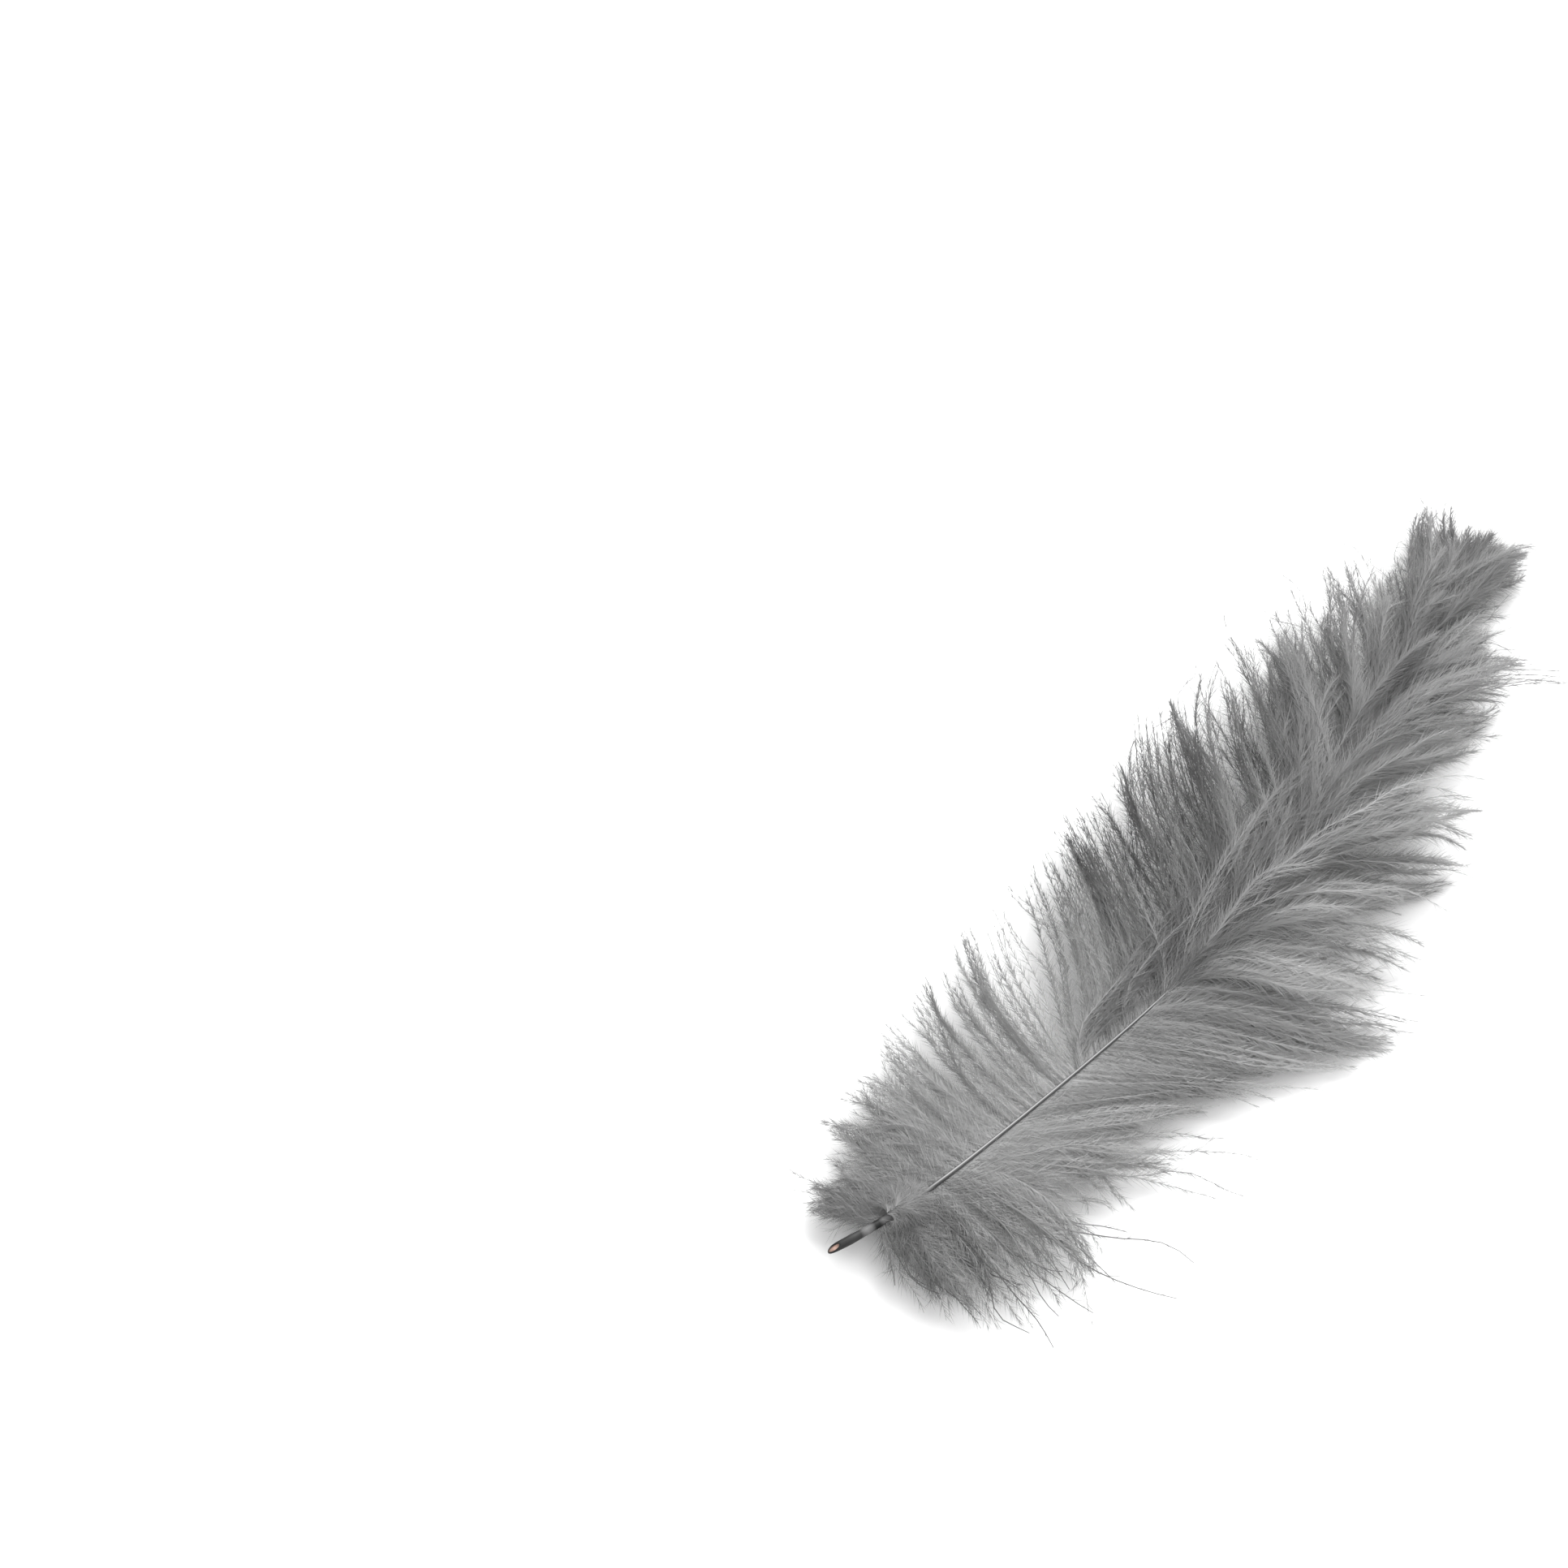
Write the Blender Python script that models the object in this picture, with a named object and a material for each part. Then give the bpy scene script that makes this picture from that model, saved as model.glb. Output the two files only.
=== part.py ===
"""One ostrich feather lying on its underside: the quill, the shaft and the locks of soft barbs.

Metres, +Z up. +Y runs from the cut quill end to the tip, and the feather rests on the plane Z = 0.
The origin is the middle of the feather's outline on that plane.
"""

import bmesh
import bpy
import numpy as np
from mathutils import Vector

MM = 0.001

# Driving dimensions
QUILL_END = Vector((-14.5, -92.0, 0.0)) * MM  # where the cut quill end stands in the frame
QUILL_RADIUS = 0.8 * MM
QUILL_WALL = 0.3 * MM
HOLLOW_DEPTH = 1.5 * MM  # how far the cut quill is open
SHAFT_RADIUS = 0.35 * MM  # of the bare shaft, past the quill
TIP_RADIUS = 0.15 * MM
QUILL_TAPER = (11, 22)  # mm along the feather, between which the quill thins into the shaft
SHAFT_STATIONS = 30
SHAFT_SIDES = 10

LOCKS_PER_SIDE = 39
LOCK_STATIONS = 6
LOCK_HALF_WIDTH = 3.6 * MM
LOCK_HALF_HEIGHT = 2.5 * MM  # in the fluffy outer half
VANE_HALF_HEIGHT = 1.3 * MM  # in the flat inner half, where the bare shaft lies on top
HALVES_MEET = (54, 72)  # mm along the feather, between which the flat half turns into the fluffy one
LOCK_SECTION = ((1, 0), (0, 1), (-1, 0), (0, -1))  # a keel above and one below, as (across, up)
LOCK_SIZE = ((0, 0.8), (0.3, 1), (0.7, 0.85), (1, 0.12))  # share of the full section, from root to tip
ROOT_OVERLAP = 1.5 * MM  # how far a lock starts behind the shaft's middle
FLOOR_SHARE = 0.5  # of a lock's half height: how low its middle may lie, so that its underside is cut flat
CUTTER_SIZE = Vector((0.4, 0.4, 0.02))

# The locks grow in three layers, in turn: the share of the slope at the root that a lock takes, and
# the degrees that tip the whole lock up or down
LAYERS = ((1.25, 3), (0.0, -12), (0.7, 0))

# How much one lock differs from the next
LENGTH_SHARE = (0.9, 1.06)
LEAVE_SPREAD = 5  # degrees
END_SPREAD = 8
RISE_SPREAD = 4

# The shaft's line, in mm from the quill end: sideways, along, and height above the resting plane
SHAFT_LINE = (
    (0, 0, 5.5),
    (5.7, 17, 6.6),
    (9.9, 34, 7.6),
    (12.5, 51, 8.6),
    (14.3, 63, 9.4),
    (16.6, 80, 10.6),
    (17.0, 95, 11.4),
    (15.0, 112, 11.6),
    (12.2, 130, 10.6),
    (9.0, 147, 8.8),
    (6.0, 163, 6.4),
    (4.0, 178, 3.6),
)

# How the locks grow, read between these stations: distance along the feather (mm), length (mm),
# the angles from the shaft's direction at the root and at the tip of the lock (degrees), and the
# slopes at its root and tip (degrees above the horizontal)
RIGHT_LOCKS = (
    (10, 15, 105, 125, 0, -14),
    (15, 27, 82, 90, 0, -14),
    (27, 28, 72, 62, 0, -14),
    (36, 17, 66, 58, 0, -14),
    (47, 33, 60, 42, 5, -18),
    (56, 42, 58, 40, 16, -22),
    (72, 44, 50, 38, 30, -35),
    (90, 40, 44, 34, 40, -42),
    (110, 35, 46, 38, 40, -42),
    (130, 32, 45, 36, 32, -40),
    (150, 24, 42, 30, 22, -35),
    (164, 19, 32, 20, 15, -25),
    (175, 11, 14, 8, 5, -10),
)
LEFT_LOCKS = (
    (10, 14, 100, 120, 0, -14),
    (20, 21, 95, 100, 0, -14),
    (30, 28, 92, 80, 0, -14),
    (45, 37, 92, 60, 0, -16),
    (60, 41, 84, 46, 15, -25),
    (75, 45, 72, 46, 28, -32),
    (92, 49, 60, 40, 38, -40),
    (110, 50, 52, 34, 40, -40),
    (125, 47, 44, 28, 36, -40),
    (140, 38, 44, 30, 30, -40),
    (152, 29, 38, 26, 20, -35),
    (164, 21, 38, 24, 15, -25),
    (175, 11, 24, 12, 5, -10),
)

rng = np.random.default_rng(23)


def clear_scene():
    for obj in list(bpy.data.objects):
        bpy.data.objects.remove(obj, do_unlink=True)


def make_material(name, color, roughness):
    material = bpy.data.materials.new(name)
    material.use_nodes = True
    shader = material.node_tree.nodes["Principled BSDF"]
    shader.inputs["Base Color"].default_value = (*color, 1)
    shader.inputs["Roughness"].default_value = roughness
    shader.inputs["Metallic"].default_value = 0
    return material


def add_object(name, bm, material=None):
    """Puts a bmesh into the scene as an object of this name, in flat triangles, which fuse cleanly."""
    bmesh.ops.triangulate(bm, faces=bm.faces)
    bmesh.ops.recalc_face_normals(bm, faces=bm.faces)
    mesh = bpy.data.meshes.new(name)
    bm.to_mesh(mesh)
    bm.free()
    obj = bpy.data.objects.new(name, mesh)
    bpy.context.scene.collection.objects.link(obj)
    if material:
        mesh.materials.append(material)
    return obj


# Polynomials through the shaft's line: sideways place and height as functions of the distance along
along_mm, sideways_mm, height_mm = np.array(SHAFT_LINE)[:, [1, 0, 2]].T
shaft_side = np.polynomial.Polynomial.fit(along_mm, sideways_mm, 6)
shaft_height = np.polynomial.Polynomial.fit(along_mm, height_mm, 6)


def shaft_point(y_mm):
    return Vector((shaft_side(y_mm), y_mm, shaft_height(y_mm))) * MM + QUILL_END


def shaft_direction(y_mm):
    return (shaft_point(y_mm + 1) - shaft_point(y_mm - 1)).normalized()


def sweep(centres, directions, outline, scales):
    """A closed surface: the outline, given as (across, up) points, carried along the centres."""
    bm = bmesh.new()
    rings = []
    for centre, direction, (wide, high) in zip(centres, directions, scales):
        across = direction.cross(Vector((0, 0, 1))).normalized()
        up = across.cross(direction)
        rings.append([bm.verts.new(centre + across * a * wide + up * u * high) for a, u in outline])
    for ring, following in zip(rings, rings[1:]):
        for i, vert in enumerate(ring):
            j = (i + 1) % len(ring)
            bm.faces.new((vert, ring[j], following[j], following[i]))
    bm.faces.new(rings[0])
    bm.faces.new(rings[-1])
    return bm


def round_outline(sides):
    turns = [2 * np.pi * i / sides for i in range(sides)]
    return [(np.cos(turn), np.sin(turn)) for turn in turns]


def shaft_radius(y_mm):
    """Thick at the quill, thinning fast into the shaft, then slowly to the tip."""
    return np.interp(y_mm, (*QUILL_TAPER, along_mm[-1]), (QUILL_RADIUS, SHAFT_RADIUS, TIP_RADIUS))


def make_shaft(material):
    """A surface from the floor of the hollow in the cut end, out over its rim and on to the tip."""
    length = np.linspace(0, along_mm[-1], SHAFT_STATIONS)
    inside = QUILL_RADIUS - QUILL_WALL
    stations = [(HOLLOW_DEPTH / MM, inside), (0, inside)] + [(y, shaft_radius(y)) for y in length]
    centres = [shaft_point(y) for y, _ in stations]
    directions = [shaft_direction(y) for y, _ in stations]
    scales = [(radius, radius) for _, radius in stations]
    return add_object("feather", sweep(centres, directions, round_outline(SHAFT_SIDES), scales), material)


def make_lock(name, side, y_mm, table, layer):
    """One lock: a keeled strip that leaves the shaft, sweeps towards the tip and droops."""
    lift, tip_over = layer
    rows = np.array(table, float)
    length, leave, end, rise, droop = (np.interp(y_mm, rows[:, 0], column) for column in rows[:, 1:].T)
    length *= MM * rng.uniform(*LENGTH_SHARE)
    leave += rng.uniform(-LEAVE_SPREAD, LEAVE_SPREAD)
    end += rng.uniform(-END_SPREAD, END_SPREAD)
    rise = rise * lift + tip_over + rng.uniform(-RISE_SPREAD, RISE_SPREAD)
    droop += tip_over
    forward = shaft_direction(y_mm)
    forward.z = 0
    forward.normalize()
    outward = forward.cross(Vector((0, 0, 1))) * side
    t = np.linspace(0, 1, LOCK_STATIONS)
    turn = np.radians(leave + (end - leave) * t)
    slope = np.radians(rise + (droop - rise) * t)
    steps = [
        (forward * np.cos(h) + outward * np.sin(h)) * np.cos(s) + Vector((0, 0, np.sin(s)))
        for h, s in zip(turn, slope)
    ]
    half_height = np.interp(y_mm, HALVES_MEET, (VANE_HALF_HEIGHT, LOCK_HALF_HEIGHT))
    sunk = np.interp(y_mm, HALVES_MEET, (VANE_HALF_HEIGHT, 0))
    point = shaft_point(y_mm) - steps[0] * ROOT_OVERLAP - Vector((0, 0, sunk))
    centres = [point]
    for step in steps[1:]:
        point = point + step * (length / (LOCK_STATIONS - 1))
        centres.append(point)
    size = np.interp(t, *zip(*LOCK_SIZE))
    for centre, s in zip(centres, size):
        centre.z = max(centre.z, FLOOR_SHARE * half_height * s)
    scales = [(LOCK_HALF_WIDTH * s, half_height * s) for s in size]
    return add_object(name, sweep(centres, steps, LOCK_SECTION, scales))


def hide_helper(obj, collection):
    """Helpers shape the feather and aren't part of it."""
    bpy.context.scene.collection.objects.unlink(obj)
    collection.objects.link(obj)
    obj.hide_render = True
    obj.display_type = "WIRE"


def make_locks(collection):
    """Both sides of the vane, from the quill to the tip."""
    for side, table in ((1, RIGHT_LOCKS), (-1, LEFT_LOCKS)):
        for i, y_mm in enumerate(np.linspace(table[0][0], table[-1][0], LOCKS_PER_SIDE)):
            lock = make_lock(f"lock_{i}", side, y_mm, table, LAYERS[i % len(LAYERS)])
            hide_helper(lock, collection)


def make_floor_cutter(collection):
    """A block under the resting plane, which cuts flat what hangs below it."""
    bm = bmesh.new()
    bmesh.ops.create_cube(bm, size=1)
    bmesh.ops.scale(bm, verts=bm.verts, vec=CUTTER_SIZE)
    bmesh.ops.translate(bm, verts=bm.verts, vec=(0, 0, -CUTTER_SIZE[2] / 2))
    cutter = add_object("floor_cutter", bm)
    hide_helper(cutter, collection)
    return cutter


def add_boolean(obj, name, operation):
    modifier = obj.modifiers.new(name, "BOOLEAN")
    modifier.operation = operation
    modifier.solver = "EXACT"
    return modifier


def apply_modifiers(obj):
    graph = bpy.context.evaluated_depsgraph_get()
    fused = bpy.data.meshes.new_from_object(obj.evaluated_get(graph))
    obj.modifiers.clear()
    obj.data = fused


def fill_sealed_air(obj):
    """Air shut in between the locks is filled: of the separate surfaces only the largest stays."""
    bm = bmesh.new()
    bm.from_mesh(obj.data)
    unseen = set(bm.faces)
    surfaces = []
    while unseen:
        surface = [unseen.pop()]
        for face in surface:
            beside = {other for edge in face.edges for other in edge.link_faces}
            found = beside & unseen
            unseen -= found
            surface += found
        surfaces.append(surface)
    surfaces.sort(key=len)
    shut_in = [face for surface in surfaces[:-1] for face in surface]
    bmesh.ops.delete(bm, geom=shut_in, context="FACES")
    bm.to_mesh(obj.data)
    bm.free()


def main():
    clear_scene()
    feather = make_shaft(make_material("grey_plume", (0.22, 0.22, 0.22), 0.85))
    helpers = bpy.data.collections.new("helpers")
    bpy.context.scene.collection.children.link(helpers)
    locks = bpy.data.collections.new("locks")
    helpers.children.link(locks)
    make_locks(locks)
    union = add_boolean(feather, "take in the locks", "UNION")
    union.operand_type = "COLLECTION"
    union.collection = locks
    add_boolean(feather, "cut the underside flat", "DIFFERENCE").object = make_floor_cutter(helpers)
    apply_modifiers(feather)
    fill_sealed_air(feather)


main()
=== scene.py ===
import bpy
import numpy as np
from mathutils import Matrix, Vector


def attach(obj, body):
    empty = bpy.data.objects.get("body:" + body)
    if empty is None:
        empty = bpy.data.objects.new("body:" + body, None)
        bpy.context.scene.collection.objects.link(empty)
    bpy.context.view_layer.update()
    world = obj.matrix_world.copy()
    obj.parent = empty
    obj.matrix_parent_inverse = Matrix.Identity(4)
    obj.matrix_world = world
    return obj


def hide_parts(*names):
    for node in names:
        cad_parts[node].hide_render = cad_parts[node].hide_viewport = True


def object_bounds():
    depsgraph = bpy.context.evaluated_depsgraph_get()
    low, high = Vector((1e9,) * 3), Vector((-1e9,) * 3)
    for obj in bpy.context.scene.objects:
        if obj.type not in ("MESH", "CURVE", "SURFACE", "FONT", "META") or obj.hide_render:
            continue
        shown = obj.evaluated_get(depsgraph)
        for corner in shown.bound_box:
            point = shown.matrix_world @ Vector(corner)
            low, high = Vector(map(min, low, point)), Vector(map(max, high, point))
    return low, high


# One ostrich feather, lying down: quill and shaft, and the barbs with their barbules.
# x, y, z are the frame's own axes, and "along" is the distance from the cut quill end towards the tip,
# measured on y. Shapes are in millimetres until their mesh is made. The finishes, the camera and the
# lights are in metres.

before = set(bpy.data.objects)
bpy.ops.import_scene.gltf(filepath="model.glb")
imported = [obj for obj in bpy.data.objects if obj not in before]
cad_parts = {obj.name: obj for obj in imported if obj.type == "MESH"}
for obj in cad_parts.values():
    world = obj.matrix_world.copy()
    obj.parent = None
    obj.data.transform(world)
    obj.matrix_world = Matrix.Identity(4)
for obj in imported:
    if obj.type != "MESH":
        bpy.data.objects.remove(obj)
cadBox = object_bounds()
mm = 0.001

# the same shaft line as the solid's: sideways, along and height, from the quill end
quillEnd = np.array([-14.5, -92.0, 0.0])
shaftLine = np.array([
    (0, 0, 5.5), (5.7, 17, 6.6), (9.9, 34, 7.6), (12.5, 51, 8.6), (14.3, 63, 9.4), (16.6, 80, 10.6),
    (17.0, 95, 11.4), (15.0, 112, 11.6), (12.2, 130, 10.6), (9.0, 147, 8.8), (6.0, 163, 6.4), (4.0, 178, 3.6),
])
tipAlong = shaftLine[-1, 1]
shaftSide = np.polynomial.Polynomial.fit(shaftLine[:, 1], shaftLine[:, 0], 6)
shaftHeight = np.polynomial.Polynomial.fit(shaftLine[:, 1], shaftLine[:, 2], 6)

# how the barbs grow on each side: along, length, angles from the y axis at the root, past the bend and
# at the tip, the share of the length at which the bend ends, and the slopes at the root and at the tip
# (degrees, up is positive)
rightRows = [
    (9, 14, 128, 136, 148, 0.5, 0, -14), (13, 23, 108, 114, 124, 0.5, 6, -18),
    (17, 29, 98, 102, 116, 0.5, 8, -20), (21, 34, 84, 90, 120, 0.5, 6, -18),
    (24, 31, 74, 82, 122, 0.5, 6, -18), (25.5, 38, 58, 43, 41, 0.3, 2, -14),
    (30, 38, 54, 43, 42, 0.3, 2, -12), (33, 32, 48, 40, 44, 0.3, 0, -12),
    (36, 35, 32, 33, 62, 0.5, 0, -12), (40, 33, 40, 38, 60, 0.5, 0, -12),
    (44, 31, 52, 45, 54, 0.5, 0, -14), (48, 32, 60, 51, 48, 0.5, 2, -17),
    (51, 34, 62, 54, 45, 0.5, 2, -18), (55, 38, 62, 56, 46, 0.4, 4, -22),
    (60, 43, 56, 58, 47, 0.35, 8, -28), (64, 47, 42, 60, 50, 0.3, 14, -34),
    (69, 47, 34, 60, 48, 0.3, 20, -38), (74, 38, 28, 56, 46, 0.33, 26, -38),
    (80, 39, 25, 52, 42, 0.33, 32, -38), (86, 35, 22, 48, 38, 0.33, 36, -40),
    (95, 44, 20, 44, 34, 0.35, 38, -42), (101, 39, 18, 39, 28, 0.35, 38, -42),
    (106, 29, 17, 34, 20, 0.35, 40, -40), (113, 31, 17, 30, 19, 0.35, 38, -40),
    (122, 37, 15, 28, 18, 0.35, 34, -38), (132, 34, 15, 30, 20, 0.35, 30, -34),
    (141, 24, 14, 28, 17, 0.35, 26, -32), (150, 23, 13, 22, 12, 0.4, 20, -28),
    (158, 20, 12, 18, 12, 0.4, 14, -22), (165, 21, 10, 20, 16, 0.4, 10, -18),
    (175, 13, 10, 16, 12, 0.4, 5, -10),
]
leftRows = [
    (9, 13, 112, 120, 130, 0.5, 0, -14), (14, 18, 98, 104, 112, 0.5, 2, -14),
    (22, 22, 88, 90, 94, 0.5, 0, -14), (30, 28, 84, 80, 74, 0.5, 0, -14),
    (40, 36, 82, 72, 54, 0.5, 0, -15), (47, 41, 82, 64, 48, 0.45, 2, -16),
    (51, 44, 80, 42, 50, 0.25, 10, -24), (58, 46, 58, 44, 50, 0.25, 22, -28),
    (66, 47, 28, 64, 46, 0.3, 34, -30), (72, 52, 24, 60, 42, 0.33, 35, -26),
    (78, 58, 22, 60, 40, 0.33, 36, -24), (84, 57, 20, 57, 38, 0.33, 36, -24),
    (92, 54, 18, 55, 37, 0.35, 36, -25), (100, 53, 17, 53, 35, 0.35, 36, -26),
    (110, 51, 16, 52, 36, 0.35, 35, -28), (120, 47, 15, 52, 35, 0.35, 33, -30),
    (128, 40, 15, 44, 31, 0.35, 30, -31), (136, 37, 14, 41, 29, 0.35, 27, -31),
    (145, 34, 13, 39, 28, 0.35, 23, -30), (155, 31, 12, 33, 25, 0.35, 17, -26),
    (165, 24, 10, 26, 21, 0.4, 11, -20), (172, 17, 10, 16, 12, 0.4, 7, -14),
    (176, 14, 6, 8, 6, 0.4, 4, -10),
]
halvesMeet = (54, 72)  # between these the flat inner half turns into the fluffy outer half
footEnds = (20, 34)  # between these the loose down at the foot turns into the flat inner half

rng = np.random.default_rng(12)


# a number in a material: it wraps a socket, and sums on it add Math nodes
class Wire:
    def __init__(self, finish, socket):
        self.finish, self.socket = finish, socket

    def reckon(self, operation, first, second):
        return self.finish.node("ShaderNodeMath", {"operation": operation}, {0: first, 1: second})

    def __add__(self, other):
        return self.reckon("ADD", self, other)

    def __sub__(self, other):
        return self.reckon("SUBTRACT", self, other)

    def __rsub__(self, other):
        return self.reckon("SUBTRACT", other, self)

    def __mul__(self, other):
        return self.reckon("MULTIPLY", self, other)

    __radd__ = __add__
    __rmul__ = __mul__


# one procedural material with a Principled shader
class Finish:
    def __init__(self, name):
        self.material = bpy.data.materials.new(name)
        self.material.use_nodes = True
        self.nodes = self.material.node_tree.nodes
        self.links = self.material.node_tree.links
        self.shader = self.nodes["Principled BSDF"]

    # a node of any type: its settings first, then the values or links of its sockets
    def node(self, kind, settings=None, sockets=None, output=0):
        made = self.nodes.new(kind)
        for key, value in (settings or {}).items():
            if key == "stops":
                self.setStops(made.color_ramp, value)
            else:
                setattr(made, key, value)
        for key, value in (sockets or {}).items():
            self.feed(made.inputs[key], value)
        return Wire(self, made.outputs[output])

    # a value that goes from one number to another while the source goes from low to high
    def span(self, source, low, high, first, last):
        return self.node("ShaderNodeMapRange", {}, {
            "Value": source, "From Min": low, "From Max": high, "To Min": first, "To Max": last})

    # a number that the mesh holds for each of its points
    def read(self, attribute):
        return self.node("ShaderNodeAttribute", {"attribute_name": attribute}, output=2)

    def setStops(self, ramp, stops):
        while len(ramp.elements) < len(stops):
            ramp.elements.new(1)
        for element, (place, color) in zip(ramp.elements, stops):
            element.position = place
            element.color = (*color, 1)

    def feed(self, socket, value):
        if isinstance(value, Wire):
            self.links.new(value.socket, socket)
        else:
            socket.default_value = value

    def surface(self, values):
        for key, value in values.items():
            self.feed(self.shader.inputs[key], value)
        return self.material


def greys(stops):
    return [(place, (tone, tone, tone)) for place, tone in stops]


barbLook = {
    "greys": ((0.0, 0.08), (0.5, 0.255), (1.0, 0.40)),  # dark, middle and light
    "mottleScale": 55.0, "mottleDetail": 3.0, "mottleShare": 0.5, "fibreShare": 0.3,
    "innerLift": 0.22, "innerEnds": (-0.042, -0.016), "innerSlant": 1.2,  # the pale flat half ends at these y
    "footShare": -0.15, "footEnds": (-0.079, -0.064),  # the share of that lift that the foot's down has
    "outerLift": 0.045, "outerStarts": (-0.03, -0.01), "outerEnds": (0.03, 0.06), "tipShare": 0.2,
    "paintedSideLight": 0.36, "sides": (-0.014, 0.014),  # painted light: between these x the fluffy half goes from painted shade on the left to painted light on the right
    "roughness": 0.75, "sheen": 0.25, "sheenRoughness": 0.5, "specular": 0.25,
}


# soft grey barbs: slow mottling, each barbule's own tone with the painted shade that its mesh carries, the
# paler flat inner half, and a fluffy half with painted light on its right side and painted shade on its left,
# added up around the middle grey
def makeBarbFinish(look):
    finish = Finish("greyPlume")
    place = finish.node("ShaderNodeTexCoord", output=3)
    x = finish.node("ShaderNodeSeparateXYZ", {}, {0: place}, output=0)
    y = finish.node("ShaderNodeSeparateXYZ", {}, {0: place}, output=1)
    right = finish.node("ShaderNodeMath", {"operation": "MAXIMUM"}, {0: x, 1: 0.0})
    mottle = finish.node("ShaderNodeTexNoise", {}, {
        "Vector": place, "Scale": look["mottleScale"], "Detail": look["mottleDetail"]})
    fibre = finish.read("tone")
    inner = finish.span(y - right * look["innerSlant"], *look["innerEnds"], 1.0, 0.0)
    inner = inner * finish.span(y, *look["footEnds"], look["footShare"], 1.0)
    outer = finish.span(y, *look["outerStarts"], 0.0, 1.0)
    outer = outer * finish.span(y, *look["outerEnds"], 1.0, look["tipShare"])
    aside = finish.span(x, *look["sides"], -1.0, 1.0)
    # the pale inner half, and painted light on the right of the fluffy half with painted shade on its left
    lift = inner * look["innerLift"] + outer * (aside * look["paintedSideLight"] + look["outerLift"])
    depth = (mottle - 0.5) * look["mottleShare"] + (fibre - 0.5) * look["fibreShare"] + lift + 0.5
    color = finish.node("ShaderNodeValToRGB", {"stops": greys(look["greys"])}, {0: depth})
    return finish.surface({
        "Base Color": color, "Roughness": look["roughness"], "Sheen Weight": look["sheen"],
        "Sheen Roughness": look["sheenRoughness"], "Specular IOR Level": look["specular"]})


shaftLook = {
    # greys at shares of the length: the dark quill with two pale bands, then the shaft
    "bands": ((0.0, 0.02), (0.0112, 0.025), (0.02, 0.045), (0.0285, 0.035), (0.0315, 0.16), (0.037, 0.22),
              (0.0405, 0.10), (0.042, 0.015), (0.0475, 0.015), (0.05, 0.13), (0.06, 0.16), (0.066, 0.05),
              (0.14, 0.08), (1.0, 0.08)),
    "streakScale": (900.0, 60.0, 900.0), "streakDetail": 2.0, "streakGreys": ((0.3, 0.6), (0.7, 1.0)),
    "streakShare": 0.6, "bumpStrength": 0.15, "bumpHeight": 0.00005,
    # the painted highlight: its grey, where along it starts, and its share on the quill and on the shaft
    "highlightGrey": 0.55, "highlightStarts": (0.07, 0.12), "quillHighlight": 0.03, "shaftHighlight": 0.75,
    "pith": (0.47, 0.32, 0.27), "pithRoughness": 0.4, "roughness": 0.45, "specular": 0.25,
}


# dark horn at the quill with paler bands, greyer along the shaft with a painted highlight along its top, worn
# in fine streaks, and the pith in the cut end
def makeShaftFinish(look):
    finish = Finish("quillHorn")
    place = finish.node("ShaderNodeTexCoord", output=3)
    along, cut, ridge = finish.read("along"), finish.read("cut"), finish.read("ridge")
    stretched = finish.node("ShaderNodeMapping", {}, {"Vector": place, "Scale": look["streakScale"]})
    streaks = finish.node("ShaderNodeTexNoise", {}, {
        "Vector": stretched, "Scale": 1.0, "Detail": look["streakDetail"]})
    bands = finish.node("ShaderNodeValToRGB", {"stops": greys(look["bands"])}, {0: along})
    wear = finish.node("ShaderNodeValToRGB", {"stops": greys(look["streakGreys"])}, {0: streaks})
    worn = finish.node("ShaderNodeMix", {"data_type": "RGBA", "blend_type": "MULTIPLY"}, {
        "Factor": look["streakShare"], 6: bands, 7: wear}, output=2)
    # painted highlight along the top of the shaft, faint on the quill
    highlightShare = ridge * finish.span(along, *look["highlightStarts"], look["quillHighlight"], look["shaftHighlight"])
    lit = finish.node("ShaderNodeMix", {"data_type": "RGBA"}, {
        "Factor": highlightShare, 6: worn, 7: (look["highlightGrey"],) * 3 + (1.0,)}, output=2)
    color = finish.node("ShaderNodeMix", {"data_type": "RGBA"}, {
        "Factor": cut, 6: lit, 7: (*look["pith"], 1.0)}, output=2)
    bump = finish.node("ShaderNodeBump", {}, {
        "Height": streaks, "Strength": look["bumpStrength"], "Distance": look["bumpHeight"]})
    return finish.surface({
        "Base Color": color, "Roughness": look["roughness"] + cut * look["pithRoughness"], "Normal": bump,
        "Specular IOR Level": look["specular"]})


# a mesh object in metres from points in mm and triangles, with its point attributes
def makePiece(name, points, faces, material, attributes, normals=None):
    mesh = bpy.data.meshes.new(name)
    corners = faces.shape[1]
    mesh.vertices.add(len(points))
    mesh.vertices.foreach_set("co", (points * mm).astype(np.float32).ravel())
    mesh.loops.add(faces.size)
    mesh.loops.foreach_set("vertex_index", faces.astype(np.int32).ravel())
    mesh.polygons.add(len(faces))
    mesh.polygons.foreach_set("loop_start", np.arange(0, faces.size, corners, dtype=np.int32))
    mesh.update(calc_edges=True)
    mesh.validate()
    for key, values in attributes.items():
        mesh.attributes.new(key, "FLOAT", "POINT").data.foreach_set("value", values.astype(np.float32))
    mesh.polygons.foreach_set("use_smooth", np.ones(len(faces), bool))
    if normals is not None:
        mesh.attributes.new("custom_normal", "FLOAT_VECTOR", "POINT").data.foreach_set(
            "vector", normals.astype(np.float32).ravel())
    mesh.materials.append(material)
    piece = bpy.data.objects.new(name, mesh)
    bpy.context.scene.collection.objects.link(piece)
    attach(piece, "root")
    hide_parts("feather")
    print(name, len(faces), "triangles")


def unit(vectors):
    return vectors / np.linalg.norm(vectors, axis=-1, keepdims=True)


# from 0 to 1 with a soft start and end: three times the square less twice the cube
def ease(t):
    t = np.clip(t, 0, 1)
    return t * t * (3 - 2 * t)


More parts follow.
